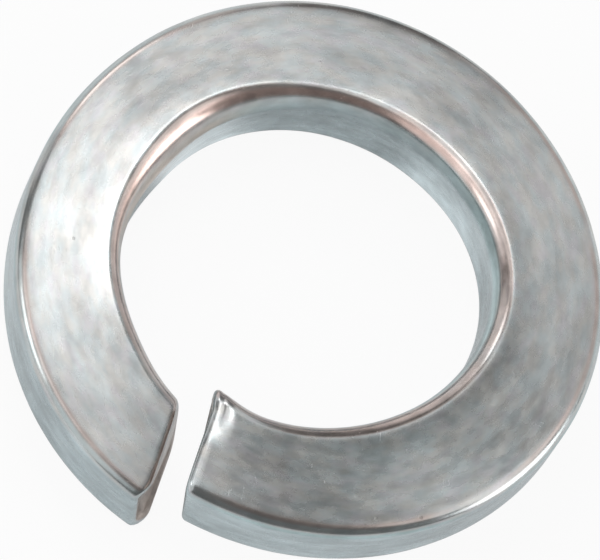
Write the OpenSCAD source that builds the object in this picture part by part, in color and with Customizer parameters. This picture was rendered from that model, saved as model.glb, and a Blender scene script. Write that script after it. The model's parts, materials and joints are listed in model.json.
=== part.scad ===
// Spring lock washer for a 16 mm bolt: one turn of flat steel wire with rounded edges, wound
// left-handed, cut through on the slant and sprung open along its axis.
// Millimetres. The origin is on the axis of the bore at mid height, +Z runs along that axis, and
// the cut is centred on -Y. The raised end is on the +X side of the cut.

/* [Ring] */

// Diameter of the bore
bore_d = 16.5; // [13:0.1:19]

// Diameter over the rim
rim_d = 26.5; // [24:0.1:33]

/* [Wire section] */

// Thickness along the axis, at the middle of the section
thickness = 3.7; // [2.5:0.1:5]

// How much thicker the section is at the bore than at the rim
keystone = 0.7; // [0:0.05:1]

// Radius of the edges round the bore
bore_edge = 0.65; // [0.2:0.05:0.9]

// Radius of the edges round the rim
rim_edge = 0.4; // [0.2:0.05:0.8]

/* [Winding] */

// Drop along the axis over one full turn
lead = 3.6; // [1:0.1:7]

/* [Cut] */

// Width of the cut, square across it
cut_w = 1.7; // [0.8:0.1:5]

// Turn of the cut away from the radius, seen from above
cut_skew = 14; // [0:1:25]

// Lean of the cut away from the axis
cut_lean = 9.5; // [0:0.5:20]

/* [Hidden] */

bore_r = bore_d / 2;
rim_r = rim_d / 2;
mid_r = (bore_r + rim_r) / 2;
half_bore = thickness / 2 + keystone / 4; // half the thickness at the bore
half_rim = thickness / 2 - keystone / 4;  // half the thickness at the rim
tall = 2 * (lead + thickness + keystone); // clears the winding at both ends
rings = 120;                              // sections along the turn, 3 degrees apart
spare = 0.1;                              // the winding reaches this far past both walls,
spare_drop = spare * tan(75);             // and its skin is this much lower there
least = 0.05;                             // nearest that the skin comes to mid section

// One edge of the section, from past its wall to its face: side is 1 at the rim, -1 at the bore.
function edge(wall, half, rad, side) = concat(
    [[wall + side * spare, max(half - rad - spare_drop, least)]],
    [for (a = [30, 60, 90]) [wall - side * rad * (1 - cos(a)), half - rad * (1 - sin(a))]]
);

function backwards(list) = [for (i = [len(list) - 1:-1:0]) list[i]];

upper = concat(edge(rim_r, half_rim, rim_edge, 1), backwards(edge(bore_r, half_bore, bore_edge, -1)));
section = concat(upper, [for (p = backwards(upper)) [p[0], -p[1]]]);
count = len(section);

// Height of the wire's centre line. Angles run from the cut, counter-clockwise from above.
function height(angle) = -lead * (angle - 180) / 360;

// Angle at which the line through section point p meets its end face, found in a few tries.
// side is 1 at the raised end, which starts at 0 degrees, and -1 at the low end, near 360.
function stop(p, side, angle, tries = 5) =
    let (rise = (p[1] + height(angle)) * sin(cut_lean),
         across = (side * cut_w / 2 - rise) / cos(cut_lean) - mid_r * sin(cut_skew),
         next = 180 * (1 - side) + cut_skew + asin(across / p[0]))
    tries == 0 ? angle : stop(p, side, next, tries - 1);

function place(p, angle) = [p[0] * sin(angle), -p[0] * cos(angle), p[1] + height(angle)];

// The wound wire, with its two flat end faces.
module winding() {
    raised = [for (p = section) stop(p, 1, 0)];
    low = [for (p = section) stop(p, -1, 360)];
    points = [for (i = [0:rings]) for (j = [0:count - 1])
        place(section[j], raised[j] + (low[j] - raised[j]) * i / rings)];
    skin = [for (i = [0:rings - 1]) for (j = [0:count - 1])
        let (k = (j + 1) % count, a = i * count, b = a + count)
        each [[a + j, a + k, b + k], [a + j, b + k, b + j]]];
    ends = [backwards([for (j = [0:count - 1]) j]), [for (j = [0:count - 1]) rings * count + j]];
    polyhedron(points, concat(skin, ends), convexity = 6);
}

// The true round walls of bore and rim, which trim the winding.
module walls() {
    difference() {
        cylinder(r = rim_r, h = tall, center = true, $fn = 240);
        cylinder(r = bore_r, h = tall + 2, center = true, $fn = 240);
    }
}

module spring_washer() {
    color([0.70, 0.71, 0.71])
    intersection() {
        walls();
        winding();
    }
}

spring_washer();
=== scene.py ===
import json
import math

import bpy
from mathutils import Matrix, Vector


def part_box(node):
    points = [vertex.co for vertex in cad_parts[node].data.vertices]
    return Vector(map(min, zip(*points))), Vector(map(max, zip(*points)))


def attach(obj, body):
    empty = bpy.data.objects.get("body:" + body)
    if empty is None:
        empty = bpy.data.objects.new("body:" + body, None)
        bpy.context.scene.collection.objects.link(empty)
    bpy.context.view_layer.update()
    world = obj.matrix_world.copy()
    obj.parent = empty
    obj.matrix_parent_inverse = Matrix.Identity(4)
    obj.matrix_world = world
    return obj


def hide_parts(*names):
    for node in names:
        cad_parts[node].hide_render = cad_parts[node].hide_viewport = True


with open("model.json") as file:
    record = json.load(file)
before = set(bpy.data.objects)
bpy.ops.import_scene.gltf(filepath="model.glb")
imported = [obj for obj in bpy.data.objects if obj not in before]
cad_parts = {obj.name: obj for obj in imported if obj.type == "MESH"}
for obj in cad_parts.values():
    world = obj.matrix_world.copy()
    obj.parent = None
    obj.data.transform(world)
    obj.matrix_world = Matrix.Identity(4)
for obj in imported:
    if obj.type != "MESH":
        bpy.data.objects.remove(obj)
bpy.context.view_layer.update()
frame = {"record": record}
mm = 0.001
print("frame loaded")


class Wire:
    # a socket that can be used in plain arithmetic

    def __init__(self, net, socket):
        self.net = net
        self.socket = socket

    def __add__(self, other):
        return self.net.math("ADD", self, other)

    def __radd__(self, other):
        return self.net.math("ADD", other, self)

    def __sub__(self, other):
        return self.net.math("SUBTRACT", self, other)

    def __rsub__(self, other):
        return self.net.math("SUBTRACT", other, self)

    def __mul__(self, other):
        return self.net.math("MULTIPLY", self, other)

    def __rmul__(self, other):
        return self.net.math("MULTIPLY", other, self)

    def __truediv__(self, other):
        return self.net.math("DIVIDE", self, other)

    def __rtruediv__(self, other):
        return self.net.math("DIVIDE", other, self)

    def __neg__(self):
        return self.net.math("MULTIPLY", self, -1.0)

    def other(self, name):
        # another output of the same node
        return Wire(self.net, self.socket.node.outputs[name])


class Net:
    # a node tree that is built by calling its methods

    def __init__(self, tree):
        self.tree = tree

    def feed(self, node, values):
        # links or sets a node's inputs
        for name, value in values.items():
            if isinstance(value, Wire):
                self.tree.links.new(value.socket, node.inputs[name])
            else:
                node.inputs[name].default_value = value

    def add(self, kind, settings=None, values=None, out=0):
        node = self.tree.nodes.new(kind)
        for name, setting in (settings or {}).items():
            setattr(node, name, setting)
        self.feed(node, values or {})
        return Wire(self, node.outputs[out])

    def math(self, operation, *values):
        return self.add("ShaderNodeMath", {"operation": operation}, dict(enumerate(values)))

    def scale(self, vector, factor):
        # colours too
        return self.add("ShaderNodeVectorMath", {"operation": "SCALE"}, {0: vector, "Scale": factor})

    def clamp(self, value, least=0.0, most=1.0):
        return self.add("ShaderNodeClamp", {}, {"Value": value, "Min": least, "Max": most})

    def ease(self, value, start, end):
        # 0 before start, 1 after end, and a smooth step between them
        ends = {"Value": value, "From Min": start, "From Max": end}
        return self.add("ShaderNodeMapRange", {"interpolation_type": "SMOOTHSTEP"}, ends)

    def within(self, value, start, full, fading, end):
        # 1 from full to fading, easing to 0 at start and at end
        return self.ease(value, start, full) * (1.0 - self.ease(value, fading, end))

    def mix(self, factor, first, second):
        # colours; the node's inputs have the same name for every kind of data, so they go by number
        ends = {0: factor}
        for place, colour in ((6, first), (7, second)):
            ends[place] = colour if isinstance(colour, Wire) else (*colour, 1.0)
        return self.add("ShaderNodeMix", {"data_type": "RGBA", "clamp_factor": True}, ends, 2)

    def parts(self, vector):
        x = self.add("ShaderNodeSeparateXYZ", {}, {0: vector})
        return x, x.other("Y"), x.other("Z")

    def join(self, x, y, z):
        return self.add("ShaderNodeCombineXYZ", {}, {"X": x, "Y": y, "Z": z})


low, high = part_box("spring_washer")
halfSpan = (high.x - low.x) / 2
boreMount = frame["record"]["mounts"][0]
fullTurn = 2 * math.pi

washer = {
    "boreRadius": (boreMount["dims"]["r_mm"] - 0.14) * mm,  # the wall bulges a little way into the bore
    "rimRadius": halfSpan + 0.04 * mm,
    "thickness": 3.7 * mm,
    "keystone": 0.9 * mm,  # thicker at the bore than at the rim by this
    "dish": math.radians(2),  # the whole section leans outwards
    "crown": 0.02 * mm,  # swell of the two faces
    "boreRoll": 0.1 * mm,  # the faces roll over towards the bore by this
    "rollStart": 0.1,  # how far in from the middle that starts, 1 is the bore
    "rollPower": 3.0,
    "rollFade": math.radians(230),  # it has faded out this far round from the raised end
    "rimRoll": 0.05 * mm,  # and towards the rim by this
    "rimRollStart": 0.7,
    "boreEdge": 0.5 * mm,  # radii of the four edges
    "rimEdge": 0.5 * mm,
    "boreUnderEdge": 0.45 * mm,
    "rimUnderEdge": 0.3 * mm,
    "edgeSteps": 12,
    "boreLean": 0.27 * mm,  # the upper bore wall curves outwards by this
    "leanStart": 0.35,  # how far above the middle of its height that starts, 1 is the top
    "bevel": 0.36 * mm,  # and stands back by this much more round one place before the low end
    "bevelStart": 0.4,
    "bevelPower": 1.3,
    "bevelAt": math.radians(258),
    "bevelReach": math.radians(50),
    "hollow": 0.45 * mm,  # the whole bore wall stands back by this, nearer the low end
    "hollowAt": math.radians(300),
    "hollowReach": math.radians(38),
    "lead": 3.6 * mm,
    "cutWidth": 1.7 * mm,
    "cutSkew": math.radians(14),
    "cutLean": math.radians(9.5),
    "raisedTopEdge": 0.42 * mm,  # edges of the two cut ends
    "raisedUnderEdge": 0.2 * mm,
    "lowTopEdge": 0.22 * mm,
    "lowUnderEdge": 0.35 * mm,
    "raisedCorner": -0.22 * mm,  # the ends' corners are blunted by this, or drawn out where it is negative
    "lowCorner": 0.05 * mm,
    "lowRimCorner": 0.42 * mm,
    "cornerReach": 0.6,  # how far out from the middle that starts, 1 is the bore or the rim
    "raisedFlare": 0.56 * mm,  # shearing pushed the raised end into the bore by this
    "flareReach": 4.5 * mm,
    "raisedDrop": 0.23 * mm,  # and rolled its top down by this next to the bore
    "dropStart": 0.2,  # where across the face that starts and ends, -1 is the bore
    "dropEnd": -0.7,
    "dropReach": 0.9 * mm,
    "capInset": 0.12 * mm,
    "boreShift": -0.04 * mm,  # the bore is a little out of round: one, two and three lobes,
    "boreShiftAt": math.radians(146),  # and where they stand
    "boreOval": 0.08 * mm,
    "boreOvalAt": math.radians(-9),
    "boreLobes": 0.14 * mm,
    "boreLobesAt": math.radians(2),
    "rimShift": 0.04 * mm,  # and so is the rim
    "rimShiftAt": math.radians(102),
    "rimLobes": 0.1 * mm,
    "rimLobesAt": math.radians(-33),
    "unevenness": 0.02 * mm,
    "lumpScale": 260.0,  # lumps per metre
    "lumpSeed": 3.7,
    "rings": 380,  # sections along the turn
    "around": 132,  # points around a section
    "capRings": 2,
    "roundRings": 6,
}
# how many waves each makes in one turn
lobeWaves = {"boreShift": 1, "boreOval": 2, "boreLobes": 3, "rimShift": 1, "rimLobes": 3}


def addInputs(tree, sizes):
    for name, size in sizes.items():
        kind = "NodeSocketInt" if isinstance(size, int) else "NodeSocketFloat"
        tree.interface.new_socket(name, in_out="INPUT", socket_type=kind)
    tree.interface.new_socket("Material", in_out="INPUT", socket_type="NodeSocketMaterial")
    tree.interface.new_socket("Geometry", in_out="OUTPUT", socket_type="NodeSocketGeometry")


def wireSection(net, size):
    # outline of the wire: a keystone with rounded edges, x outwards and y up
    width = size["rimRadius"] - size["boreRadius"]
    box = net.add(
        "GeometryNodeCurvePrimitiveQuadrilateral",
        {"mode": "RECTANGLE"},
        {"Width": width, "Height": size["thickness"]},
    )
    x, y, z = net.parts(net.add("GeometryNodeInputPosition"))
    taper = 1.0 - x * size["keystone"] / (width * size["thickness"])
    box = net.add("GeometryNodeSetPosition", {}, {"Geometry": box, "Position": net.join(x, y * taper, z)})
    isRim = net.math("GREATER_THAN", x, 0.0)
    isUnder = net.math("LESS_THAN", y, 0.0)
    top = size["boreEdge"] + (size["rimEdge"] - size["boreEdge"]) * isRim
    under = size["boreUnderEdge"] + (size["rimUnderEdge"] - size["boreUnderEdge"]) * isRim
    radius = top + (under - top) * isUnder
    rounding = {"Curve": box, "Count": size["edgeSteps"], "Radius": radius}
    return net.add("GeometryNodeFilletCurve", {"mode": "POLY"}, rounding)


def stopAngle(net, size, side, half, radius, rise):
    # the angle at which a line of the wire meets a cut face: side is 1 at the raised end, -1 at the low end
    middle = (size["rimRadius"] + size["boreRadius"]) * 0.5
    sinSkew = net.math("SINE", size["cutSkew"])
    sinLean = net.math("SINE", size["cutLean"])
    cosLean = net.math("COSINE", size["cutLean"])
    start = math.pi * (1 - side)
    angle = start
    for _ in range(2):
        level = (rise + size["lead"] * (math.pi - angle) / fullTurn) * sinLean
        across = (half * side - level) / cosLean - middle * sinSkew
        angle = size["cutSkew"] + net.math("ARCSINE", across / radius) + start
    return angle


def windWasher(material):
    tree = bpy.data.node_groups.new("wound washer", "GeometryNodeTree")
    addInputs(tree, washer)
    net = Net(tree)
    given = tree.nodes.new("NodeGroupInput")
    size = {name: Wire(net, given.outputs[name]) for name in washer}
    width = size["rimRadius"] - size["boreRadius"]
    middle = (size["rimRadius"] + size["boreRadius"]) * 0.5

    def past(share, start, end=1.0):
        # 0 up to start, then growing evenly to 1 at end
        return net.math("MAXIMUM", (share - start) / (end - start), 0.0)

    # a tube of rings, whose points are then laid round the section and along the turn
    tube = net.add(
        "GeometryNodeMeshCylinder",
        {"fill_type": "NGON"},
        {"Vertices": size["around"], "Side Segments": size["rings"], "Radius": 1.0, "Depth": 1.0},
    )
    tubeX, tubeY, tubeZ = net.parts(net.add("GeometryNodeInputPosition"))
    section = net.add(
        "GeometryNodeSampleCurve",
        {"mode": "FACTOR", "use_all_curves": True},
        {
            "Curves": wireSection(net, size),
            "Factor": net.math("FRACT", net.math("ARCTAN2", tubeY, tubeX) / fullTurn + 1.0),
        },
        "Position",
    )
    outward, upward, _ = net.parts(section)
    fromMiddle = outward * 2.0 / width
    fromLevel = upward * 2.0 / size["thickness"]
    onBore = net.clamp(-fromMiddle)
    onRim = net.clamp(fromMiddle)
    ring = net.math("ROUND", (tubeZ + 0.5) * size["rings"])
    ringLeft = size["rings"] - ring
    bearing = ring / size["rings"] * fullTurn
    endRings = size["capRings"] + size["roundRings"]
    along = net.clamp((ring - endRings) / (size["rings"] - endRings * 2.0))

    def near(at, reach):
        # 1 at that bearing, easing to 0
        return net.ease(1.0 - net.math("ABSOLUTE", bearing - at) / reach, 0.0, 1.0)

    # faces and walls aren't flat
    rollSpot = past(-fromMiddle, size["rollStart"], 1.0 - size["boreEdge"] * 2.0 / width)
    rimRollSpot = past(fromMiddle, size["rimRollStart"])
    boreRoll = size["boreRoll"] * net.clamp(1.0 - bearing / size["rollFade"])
    boreRoll = boreRoll * net.math("POWER", rollSpot, size["rollPower"])
    rimRoll = size["rimRoll"] * rimRollSpot * rimRollSpot
    swell = (size["crown"] * (1.0 - fromMiddle * fromMiddle) - boreRoll - rimRoll) * fromLevel
    leanSpot = past(fromLevel, size["leanStart"])
    bevelSpot = net.math("POWER", past(fromLevel, size["bevelStart"]), size["bevelPower"])
    outward = outward + onBore * (
        size["boreLean"] * leanSpot * leanSpot
        + size["bevel"] * bevelSpot * near(size["bevelAt"], size["bevelReach"])
        + size["hollow"] * near(size["hollowAt"], size["hollowReach"])
    )
    for name, lobes in lobeWaves.items():
        wave = net.math("COSINE", (bearing - size[name + "At"]) * float(lobes))
        outward = outward + size[name] * wave * (onBore if name.startswith("bore") else onRim)

    # shearing bent the raised end
    flareSpot = net.clamp(1.0 - bearing * middle / size["flareReach"])
    outward = outward - size["raisedFlare"] * onBore * flareSpot * flareSpot
    dropSpot = net.clamp(1.0 - along * middle * fullTurn / size["dropReach"])
    dropShare = net.ease(fromMiddle, size["dropStart"], size["dropEnd"]) * net.clamp(fromLevel)
    drop = size["raisedDrop"] * dropShare * dropSpot * dropSpot

    # the first and last rings shrink into a flat cut face with worn edges
    top = net.clamp(upward / size["thickness"] + 0.5)
    raisedEdge = size["raisedUnderEdge"] + (size["raisedTopEdge"] - size["raisedUnderEdge"]) * top
    lowEdge = size["lowUnderEdge"] + (size["lowTopEdge"] - size["lowUnderEdge"]) * top
    raisedTurn = net.clamp((ring - size["capRings"]) / size["roundRings"]) * (math.pi / 2)
    lowTurn = net.clamp((ringLeft - size["capRings"]) / size["roundRings"]) * (math.pi / 2)
    nearest = net.math("MINIMUM", ring, ringLeft)
    inset = (
        raisedEdge * (1.0 - net.math("SINE", raisedTurn))
        + lowEdge * (1.0 - net.math("SINE", lowTurn))
        + net.math("MAXIMUM", size["capRings"] - nearest, 0.0) * size["capInset"]
    )
    outward = outward * (1.0 - inset * 2.0 / width)
    upward = (upward + swell - drop) * (1.0 - inset * 2.0 / size["thickness"])

    # wind it between the two cut faces
    upward = upward - outward * net.math("TANGENT", size["dish"])
    radius = middle + outward
    boreSpot = past(-fromMiddle, size["cornerReach"])
    rimSpot = past(fromMiddle, size["cornerReach"])
    raisedHalf = size["cutWidth"] * 0.5 + raisedEdge * (1.0 - net.math("COSINE", raisedTurn))
    raisedHalf = raisedHalf + size["raisedCorner"] * boreSpot * boreSpot
    lowHalf = size["cutWidth"] * 0.5 + lowEdge * (1.0 - net.math("COSINE", lowTurn))
    lowHalf = lowHalf + size["lowCorner"] * boreSpot * boreSpot + size["lowRimCorner"] * rimSpot * rimSpot
    raised = stopAngle(net, size, 1, raisedHalf, radius, upward)
    lowest = stopAngle(net, size, -1, lowHalf, radius, upward)
    angle = raised + (lowest - raised) * along
    place = net.join(
        radius * net.math("SINE", angle),
        -radius * net.math("COSINE", angle),
        upward + size["lead"] * (math.pi - angle) / fullTurn,
    )

    # the plating reads where on the wire a point is, and whether on a cut face
    geometry = tube
    marks = {
        "wire": ("FLOAT_VECTOR", net.join(outward, upward, angle * middle)),
        "cut": ("FLOAT", net.clamp((endRings - nearest) / size["roundRings"])),
    }
    for name, (kind, value) in marks.items():
        geometry = net.add(
            "GeometryNodeStoreNamedAttribute",
            {"data_type": kind, "domain": "POINT"},
            {"Geometry": geometry, "Name": name, "Value": value},
        )
    geometry = net.add("GeometryNodeSetPosition", {}, {"Geometry": geometry, "Position": place})

    # tumbled steel is never quite even
    lumpLook = {
        "Vector": net.add("GeometryNodeInputPosition"),
        "W": size["lumpSeed"],
        "Scale": size["lumpScale"],
        "Detail": 2.0,
    }
    lumps = net.add("ShaderNodeTexNoise", {"noise_dimensions": "4D"}, lumpLook)
    push = net.scale(net.add("GeometryNodeInputNormal"), (lumps - 0.5) * size["unevenness"] * 2.0)
    geometry = net.add("GeometryNodeSetPosition", {}, {"Geometry": geometry, "Offset": push})
    geometry = net.add("GeometryNodeFlipFaces", {}, {"Mesh": geometry})  # winding turns the tube inside out
    geometry = net.add("GeometryNodeSetShadeSmooth", {}, {"Geometry": geometry})
    geometry = net.add("GeometryNodeRealizeInstances", {}, {"Geometry": geometry})
    coat = {"Geometry": geometry, "Material": Wire(net, given.outputs["Material"])}
    geometry = net.add("GeometryNodeSetMaterial", {}, coat)
    net.feed(tree.nodes.new("NodeGroupOutput"), {"Geometry": geometry})

    holder = bpy.data.objects.new("holder", bpy.data.meshes.new("holder"))
    bpy.context.scene.collection.objects.link(holder)
    modifier = holder.modifiers.new("wound washer", "NODES")
    modifier.node_group = tree
    for item in tree.interface.items_tree:
        if item.in_out == "INPUT":
            modifier[item.identifier] = material if item.name == "Material" else washer[item.name]
    evaluated = holder.evaluated_get(bpy.context.evaluated_depsgraph_get())
    mesh = bpy.data.meshes.new_from_object(evaluated)
    bpy.data.objects.remove(holder)
    piece = bpy.data.objects.new("washer", mesh)
    bpy.context.scene.collection.objects.link(piece)
    return piece


plating = {
    "coolHue": (0.53, 0.572, 0.58),  # the passivated film drifts between these on the faces
    "warmHue": (0.577, 0.572, 0.553),
    "lilacHue": (0.568, 0.555, 0.578),
    "wallHue": (0.475, 0.565, 0.595),
    "edgeCool": (0.54, 0.63, 0.64),  # and between these on the roundings
    "edgeCopper": (0.86, 0.64, 0.57),
    "edgeWarm": (0.62, 0.53, 0.46),
    "edgeBrown": (0.50, 0.41, 0.375),
    "edgeTeal": (0.42, 0.545, 0.555),
    "cutHue": (0.56, 0.50, 0.46),  # thin plating on the cut ends
    "breakHue": (0.42, 0.37, 0.34),  # their torn lower part
    # noises, each with its size, seed and detail
    "cloud": (2.2 * mm, 1.3, 2.0),
    "mottle": (0.9 * mm, 2.1, 2.0),
    "patch": (0.38 * mm, 3.7, 2.0),
    "grain": (0.12 * mm, 5.9, 2.0),
    "warmth": (0.55 * mm, 8.2, 3.0),
    "lilac": (0.5 * mm, 11.4, 3.0),
    "drift": (5.0 * mm, 14.6, 1.0),
    "streak": (0.07 * mm, 17.2, 3.0),
    "broadStreak": (0.35 * mm, 19.5, 2.0),
    "tornLine": (0.5 * mm, 35.0, 2.0),
    "tear": (0.12 * mm, 37.3, 4.0),
    "sheen": (1.1 * mm, 41.7, 3.0),
    "stainStretch": 0.45,  # 1 leaves a noise round, and less draws it out along the wire
    "streakStretch": 0.03,
    "tearStretch": 0.25,  # or down the cut face
    # where on its scale each noise comes in, and where it is full
    "warmthSpan": (0.34, 0.66),
    "lilacSpan": (0.48, 0.7),
    "driftSpan": (0.3, 0.55),
    "coolSpan": (0.3, 0.6),
    # how far a spot faces up, 0 on a wall and 1 on a face, where each part comes in and goes
    "wall": (0.1, 0.55),  # goes
    "face": (0.9, 0.97),  # comes in
    "rounding": (0.05, 0.3, 0.93, 0.985),
    "coolRing": (0.45, 0.75, 0.8, 0.95),
    "warmRing": (0.04, 0.2, 0.35, 0.6),
    "brownRing": (0.78, 0.92, 0.965, 0.993),
    # how far along the wire from the raised end each tint, painted shade or painted highlight comes in and
    # goes
    "copperStretch": (24 * mm, 33 * mm, 52 * mm, 60 * mm),
    "warmStretch": (41 * mm, 47 * mm),
    "tintEnd": (53 * mm, 60 * mm),
    "shadedBandStretch": (1.5 * mm, 4 * mm, 23 * mm, 30 * mm),
    "highlightStretch": (42 * mm, 47 * mm, 56 * mm, 61 * mm),
    "endShadeStretch": (58 * mm, 63 * mm),
    # how far from the middle of the section towards the bore
    "shadedBandInward": (0.5 * mm, 1.5 * mm),
    "highlightInward": (-0.2 * mm, 1.4 * mm),
    "shadeBetweenAt": -0.1 * mm,
    "shadeBetweenReach": (0.3 * mm, 1.1 * mm),
    "shadedWall": (-1.2 * mm, 0.8 * mm),  # and how far up, for the painted shade on the upper bore wall
    "cap": (0.85, 1.0),  # and through the rounding of a cut end
    # shares of the tints
    "wallShare": 0.85,
    "lilacShare": 0.7,
    "brownShare": 0.75,
    "coolShare": 0.5,
    "copperLeast": 0.35,
    "copperMore": 0.55,
    "warmShare": 0.8,
    "cutShare": 0.85,
    # how much lighter or darker each of these makes the plating
    "cloudTone": 0.26,
    "mottleTone": 0.29,
    "patchTone": 0.27,
    "grainTone": 0.05,
    "streakTone": (0.03, 0.16),  # everywhere, and on the walls as well
    "broadStreakTone": (0.05, 0.22),
    "wallShadeTone": 0.2,  # painted shade: the upper bore wall is darkened
    "shadedBandTone": 0.26,  # painted shade: the face is darker next to the bore behind the raised end
    "highlightTone": 0.26,  # painted highlight: the face is brighter there before the low end
    # painted shade along the middle of the face in that stretch
    "shadeBetweenTone": 0.09,
    "endShadeTone": 0.2,  # painted shade: the face is darker near the low end
    "pitTone": 0.04,
    "scratchTone": 0.12,
    "tearTone": 0.5,
    "pitSpacing": 1.5 * mm,
    "pitShare": 0.45,  # of the places a spacing apart
    "pitLeast": 0.03,  # size, of the spacing
    "pitMore": 0.06,
    "pitEdge": (0.5, 1.0),
    "scratches": ((0.5, 23.1), (2.1, 27.8), (-0.8, 31.4)),  # directions and seeds
    "scratchWidth": 0.06 * mm,
    "scratchStretch": 0.03,
    "scratchSpan": (0.7, 0.78),
    "scratchArea": 2.5 * mm,
    "scratchAreaSpan": (0.5, 0.65),
    "tornSway": 1.2 * mm,  # the torn part's upper line strays and blends by these
    "tornBlend": 0.3 * mm,
    "roughness": 0.27,
    "roughSpread": 0.12,
    "roundingPolish": 0.04,
    "pitRough": 0.1,
    "scratchRough": 0.06,
    "tornRough": 0.15,
    "leastRough": 0.12,
    "mostRough": 0.6,
    "mottleHeight": 0.004 * mm,
    "patchHeight": 0.0025 * mm,
    "grainHeight": 0.0008 * mm,
    "streakHeight": 0.0015 * mm,
    "pitDepth": 0.004 * mm,
    "scratchDepth": 0.002 * mm,
    "tearDepth": 0.01 * mm,
}


def zincPlate():
    material = bpy.data.materials.new("zinc plate")
    material.use_nodes = True
    net = Net(material.node_tree)
    spot = net.add("ShaderNodeTexCoord", {}, {}, "Object")
    x, y, z = net.parts(spot)
    facingX, facingY, facingUp = net.parts(spot.other("Normal"))
    wireSpot = net.add("ShaderNodeAttribute", {"attribute_name": "wire"}, {}, "Vector")
    outward, upward, along = net.parts(wireSpot)
    cut = net.add("ShaderNodeAttribute", {"attribute_name": "cut"}, {}, "Fac")

    def texture(size, seed, detail, where):
        values = {"Vector": where, "W": seed, "Scale": 1.0 / size, "Detail": detail}
        return net.add("ShaderNodeTexNoise", {"noise_dimensions": "4D"}, values)

    def noise(name, where=spot):
        return texture(*plating[name], where)

    # where on the section a spot is, told by the way it faces
    facingOut = (x * facingX + y * facingY) / net.math("SQRT", x * x + y * y)
    steep = net.math("ABSOLUTE", facingUp)
    onWall = 1.0 - net.ease(steep, *plating["wall"])
    onFace = net.ease(facingUp, *plating["face"])
    onRounding = net.within(steep, *plating["rounding"])
    onTop = net.math("GREATER_THAN", facingUp, 0.0)
    atRim = net.math("GREATER_THAN", facingOut, 0.0)
    atBore = 1.0 - atRim
    onCap = net.ease(cut, *plating["cap"])

    # stains in the film
    lain = net.join(outward, upward, along * plating["stainStretch"])
    mottle = noise("mottle", lain)
    patch = noise("patch", lain)
    grain = noise("grain")
    tone = (
        1.0
        + (noise("cloud", lain) - 0.5) * (plating["cloudTone"] * 2)
        + (mottle - 0.5) * (plating["mottleTone"] * 2)
        + (patch - 0.5) * (plating["patchTone"] * 2)
        + (grain - 0.5) * (plating["grainTone"] * 2)
    )
    warmth = net.ease(noise("warmth", lain), *plating["warmthSpan"])
    lilac = net.ease(noise("lilac", lain), *plating["lilacSpan"])
    faceHue = net.mix(warmth, plating["coolHue"], plating["warmHue"])
    faceHue = net.mix(lilac * plating["lilacShare"], faceHue, plating["lilacHue"])
    hue = net.mix(onWall * plating["wallShare"], faceHue, plating["wallHue"])

    # interference tints where the film thins over the roundings
    drift = noise("drift")
    drifted = net.ease(drift, *plating["driftSpan"])
    brownRing = net.within(steep, *plating["brownRing"]) * onTop
    hue = net.mix(brownRing * drifted * plating["brownShare"], hue, plating["edgeBrown"])
    coolRing = net.within(steep, *plating["coolRing"]) * onTop
    upperRing = net.mix(atRim, plating["edgeCopper"], plating["edgeCool"])
    copper = plating["copperLeast"] + net.within(along, *plating["copperStretch"]) * plating["copperMore"]
    coolSpread = net.ease(drift, *plating["coolSpan"]) * plating["coolShare"]
    upperSpread = net.math("MAXIMUM", coolSpread, atBore * copper)
    hue = net.mix(coolRing * upperSpread, hue, upperRing)
    warmRing = net.within(steep, *plating["warmRing"]) * onTop
    warmSide = atBore * net.ease(along, *plating["warmStretch"])
    lowerRing = net.mix(warmSide, plating["edgeTeal"], plating["edgeWarm"])
    beforeEnd = 1.0 - net.ease(along, *plating["tintEnd"])
    hue = net.mix(warmRing * drifted * beforeEnd * plating["warmShare"], hue, lowerRing)

    # drawn streaks follow the wire, strongest on its walls
    drawn = net.join(outward, upward, along * plating["streakStretch"])
    streak = noise("streak", drawn)
    broadStreak = noise("broadStreak", drawn)
    fine, fineOnWall = plating["streakTone"]
    broad, broadOnWall = plating["broadStreakTone"]
    fineTone = (streak - 0.5) * (onWall * fineOnWall + fine)
    tone = tone * (1.0 + fineTone + (broadStreak - 0.5) * (onWall * broadOnWall + broad))

    # knocks and scratches from tumbling
    cells = {"Vector": spot, "Scale": 1.0 / plating["pitSpacing"], "Randomness": 1.0}
    cell = net.add("ShaderNodeTexVoronoi", {"feature": "F1"}, cells, "Distance")
    chosen, pitSize, _ = net.parts(cell.other("Color"))
    pitReach = plating["pitLeast"] + pitSize * plating["pitMore"]
    isPit = net.math("GREATER_THAN", chosen, 1.0 - plating["pitShare"])
    pit = (1.0 - net.ease(cell / pitReach, *plating["pitEdge"])) * isPit
    scratch = 0.0
    for turn, seed in plating["scratches"]:
        sinTurn, cosTurn = math.sin(turn), math.cos(turn)
        lengthwise = (x * cosTurn + y * sinTurn) * plating["scratchStretch"]
        scratched = net.join(lengthwise, y * cosTurn - x * sinTurn, z)
        line = texture(plating["scratchWidth"], seed, 1.0, scratched)
        area = texture(plating["scratchArea"], seed + 1.0, 1.0, spot)
        line = net.ease(line, *plating["scratchSpan"]) * net.ease(area, *plating["scratchAreaSpan"])
        scratch = net.math("MAXIMUM", scratch, line)

    # sheared ends: burnished above, torn below
    tornLine = upward + (noise("tornLine") - 0.5) * plating["tornSway"]
    torn = onCap * (1.0 - net.ease(tornLine, -plating["tornBlend"], plating["tornBlend"]))
    tear = noise("tear", net.join(outward, upward * plating["tearStretch"], along))
    hue = net.mix(onCap * plating["cutShare"], hue, plating["cutHue"])
    hue = net.mix(torn, hue, plating["breakHue"])
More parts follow.
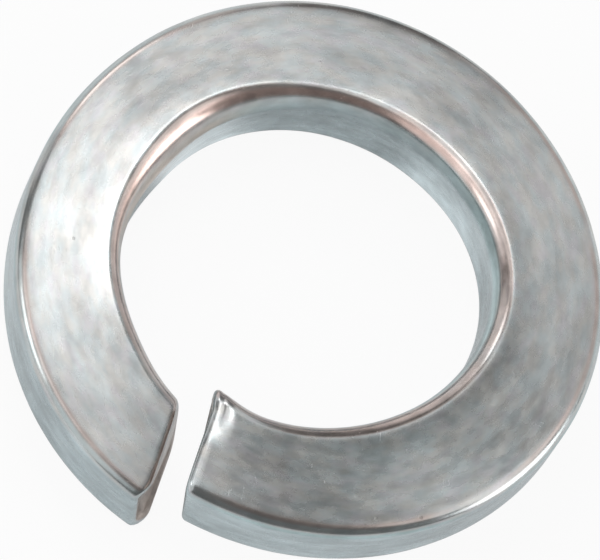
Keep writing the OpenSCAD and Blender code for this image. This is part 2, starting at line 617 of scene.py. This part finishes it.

    # painted shade and painted highlights on stretches of the faces and the bore wall
    # painted shade on the face next to the bore behind the raised end
    shadedBand = net.ease(-outward, *plating["shadedBandInward"]) * onFace * net.within(along, *plating["shadedBandStretch"])
    # painted shade darkening the upper bore wall
    shadedWall = onWall * atBore * net.ease(upward, *plating["shadedWall"])
    tone = tone * (1.0 - shadedBand * plating["shadedBandTone"]) * (1.0 - shadedWall * plating["wallShadeTone"])
    # painted highlight on the face before the low end, brightest towards the bore
    highlightStretch = net.within(along, *plating["highlightStretch"]) * onFace
    paintedHighlight = net.ease(-outward, *plating["highlightInward"]) * highlightStretch
    # painted shade along the middle of the face in the same stretch
    fromShadeBetween = net.math("ABSOLUTE", outward + plating["shadeBetweenAt"])
    shadeBetween = (1.0 - net.ease(fromShadeBetween, *plating["shadeBetweenReach"])) * highlightStretch
    tone = tone * (1.0 + paintedHighlight * plating["highlightTone"]) * (1.0 - shadeBetween * plating["shadeBetweenTone"])
    # painted shade on the face near the low end
    tone = tone * (1.0 - net.ease(along, *plating["endShadeStretch"]) * onFace * plating["endShadeTone"])
    tone = tone * (1.0 - pit * plating["pitTone"]) * (1.0 + scratch * plating["scratchTone"])
    tone = tone * (1.0 + (tear - 0.5) * onCap * plating["tearTone"])

    roughness = (
        plating["roughness"]
        + (noise("sheen") - 0.5) * plating["roughSpread"]
        + (patch - 0.5) * plating["roughSpread"]
        - onRounding * plating["roundingPolish"]
        + pit * plating["pitRough"]
        + scratch * plating["scratchRough"]
        + torn * plating["tornRough"]
    )
    height = (
        mottle * plating["mottleHeight"]
        + patch * plating["patchHeight"]
        + grain * plating["grainHeight"]
        + (streak * 0.5 + broadStreak) * (onWall * plating["streakHeight"])
        - pit * plating["pitDepth"]
        - scratch * plating["scratchDepth"]
        + tear * (onCap * plating["tearDepth"])
    )
    bump = net.add("ShaderNodeBump", {}, {"Height": height, "Distance": 1.0, "Strength": 1.0})
    surface = {
        "Base Color": net.scale(hue, tone),
        "Roughness": net.clamp(roughness, plating["leastRough"], plating["mostRough"]),
        "Normal": bump,
        "Metallic": 1.0,
    }
    net.feed(material.node_tree.nodes["Principled BSDF"], surface)
    return material


plate = zincPlate()
piece = windWasher(plate)
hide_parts("spring_washer")
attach(piece, "root")
print("washer wound:", len(piece.data.polygons), "faces")


view = {
    "azimuth": math.radians(4.2),
    "elevation": math.radians(64.5),
    "roll": math.radians(30.2),
    "distance": 25.5 * halfSpan,
    "width": 2.029 * halfSpan,  # of what it takes in at the washer
    "right": -0.0196 * halfSpan,
    "up": 0.0024 * halfSpan,
    "nearest": 0.01,
}


def addCamera():
    sinAzimuth, cosAzimuth = math.sin(view["azimuth"]), math.cos(view["azimuth"])
    sinElevation, cosElevation = math.sin(view["elevation"]), math.cos(view["elevation"])
    back = Vector((sinAzimuth * cosElevation, -cosAzimuth * cosElevation, sinElevation))
    right = Vector((cosAzimuth, sinAzimuth, 0))
    turn = Matrix((right, back.cross(right), back)).transposed() @ Matrix.Rotation(view["roll"], 3, "Z")
    data = bpy.data.cameras.new("camera")
    data.lens = data.sensor_width * view["distance"] / view["width"]
    data.clip_start = view["nearest"]
    camera = bpy.data.objects.new("camera", data)
    camera.matrix_world = turn.to_4x4()
    camera.location = turn @ Vector((view["right"], view["up"], view["distance"]))
    bpy.context.scene.collection.objects.link(camera)
    bpy.context.scene.camera = camera


addCamera()


ground = {
    "reach": 2.0,
    "colour": (0.95, 0.95, 0.95, 1.0),
    "roughness": 0.9,
    "seen": 0.92,  # share of the floor's white that the camera sees whatever falls on it
    "mirrored": 0.16,  # and what reflections see in the bore, which the washer shades,
    "mirroredMore": 0.22,  # and this much more
    "shadeEdge": (0.2 * halfSpan, 1.3 * halfSpan),  # outside it
    "pools": (  # painted pools of light in the floor's glow, seen only in reflections, standing for light that falls through the bore, which its wall mirrors: place, reach and brightness
        (2.2 * mm, 6.0 * mm, 3.0 * mm, 0.85),
        (-6.4 * mm, 3.6 * mm, 3.4 * mm, 0.85),
    ),
    "poolCore": 0.3,  # of its reach
}


def addFloor():
    mesh = bpy.data.meshes.new("floor")
    reach = ground["reach"]
    outline = ((-reach, -reach), (reach, -reach), (reach, reach), (-reach, reach))
    corners = [(x, y, low.z) for x, y in outline]
    mesh.from_pydata(corners, [], [(0, 1, 2, 3)])
    floor = bpy.data.objects.new("floor", mesh)
    bpy.context.scene.collection.objects.link(floor)
    material = bpy.data.materials.new("floor")
    material.use_nodes = True
    net = Net(material.node_tree)
    nodes = material.node_tree.nodes
    fromCamera = net.add("ShaderNodeLightPath", {}, {}, "Is Camera Ray")
    reflected, passed = fromCamera.other("Is Glossy Ray"), fromCamera.other("Is Transmission Ray")
    inMirror = net.math("MAXIMUM", reflected, passed)
    x, y, _ = net.parts(net.add("ShaderNodeTexCoord", {}, {}, "Object"))

    def apart(atX, atY):
        return net.math("SQRT", (x - atX) * (x - atX) + (y - atY) * (y - atY))

    mirrored = ground["mirrored"] + net.ease(apart(0.0, 0.0), *ground["shadeEdge"]) * ground["mirroredMore"]
    # painted pools of light in the glow that reflections see
    for atX, atY, poolReach, level in ground["pools"]:
        pool = 1.0 - net.ease(apart(atX, atY), ground["poolCore"] * poolReach, poolReach)
        mirrored = mirrored + pool * level
    seen = fromCamera * ground["seen"] + inMirror * mirrored
    glow = net.add("ShaderNodeEmission", {}, {"Color": (1, 1, 1, 1), "Strength": 1.0})
    net.feed(nodes["Principled BSDF"], {"Base Color": ground["colour"], "Roughness": ground["roughness"]})
    matt = Wire(net, nodes["Principled BSDF"].outputs[0])
    surface = net.add("ShaderNodeMixShader", {}, {0: seen, 1: matt, 2: glow})
    net.feed(nodes["Material Output"], {"Surface": surface})
    mesh.materials.append(material)


worldSeen = 0.84
worldLight = 0.16


def addWorld():
    world = bpy.data.worlds.new("studio")
    bpy.context.scene.world = world
    world.use_nodes = True
    net = Net(world.node_tree)
    fromCamera = net.add("ShaderNodeLightPath", {}, {}, "Is Camera Ray")
    sky = {"Color": (1, 1, 1, 1), "Strength": fromCamera * worldSeen + worldLight}
    net.feed(world.node_tree.nodes["Background"], sky)


lamps = {  # azimuth and height in degrees, distance and radius in half spans, brightness, colour
    "overhead": (-137, 69, 6.4, 0.92, 1.05, (1, 1, 1)),
    "overheadLeft": (-81, 71, 5.9, 2.76, 0.42, (1, 1, 1)),
    "backLeft": (-149, 53, 20.0, 4.6, 0.34, (1, 1, 1)),
    "rightHigh": (105, 48, 6.7, 2.2, 0.47, (1, 1, 1)),
    "frontLeft": (-43, 28, 5.3, 3.7, 0.28, (1, 1, 1)),
    "sideLeft": (-57, 27, 8.0, 1.5, 0.8, (1, 1, 1)),
    "rightLow": (101, 14, 20.0, 6.3, 1.05, (1, 1, 1)),
    "backRight": (152, 23, 7.5, 4.45, 0.25, (1, 1, 1)),
    "leftLow": (-123, 9, 8.9, 5.1, 0.25, (1, 1, 1)),
    "overheadRight": (146, 67, 8.0, 1.2, 0.12, (0.86, 1, 1)),
    "highBack": (-176, 53, 8.0, 1.5, 0.27, (1, 1, 1)),
    "endGlint": (-124, 38, 8.0, 1.2, 1.0, (1, 1, 1)),
}
studioLevel = 1.7


def addLamps():
    for name, (azimuth, height, distance, radius, level, colour) in lamps.items():
        azimuth, height = math.radians(azimuth), math.radians(height)
        distance, radius = distance * halfSpan, radius * halfSpan
        toLamp = Vector((
            math.sin(azimuth) * math.cos(height),
            -math.cos(azimuth) * math.cos(height),
            math.sin(height),
        ))
        data = bpy.data.lights.new(name, "AREA")
        data.shape = "DISK"
        data.size = radius * 2
        data.energy = level * studioLevel * 4 * math.pi * radius ** 2
        data.color = colour
        lamp = bpy.data.objects.new(name, data)
        lamp.location = toLamp * distance
        lamp.rotation_euler = toLamp.to_track_quat("Z", "Y").to_euler()
        lamp.visible_camera = False
        bpy.context.scene.collection.objects.link(lamp)


addLamps()
addFloor()
addWorld()
bpy.context.scene.view_settings.view_transform = "Standard"
print("stage set")
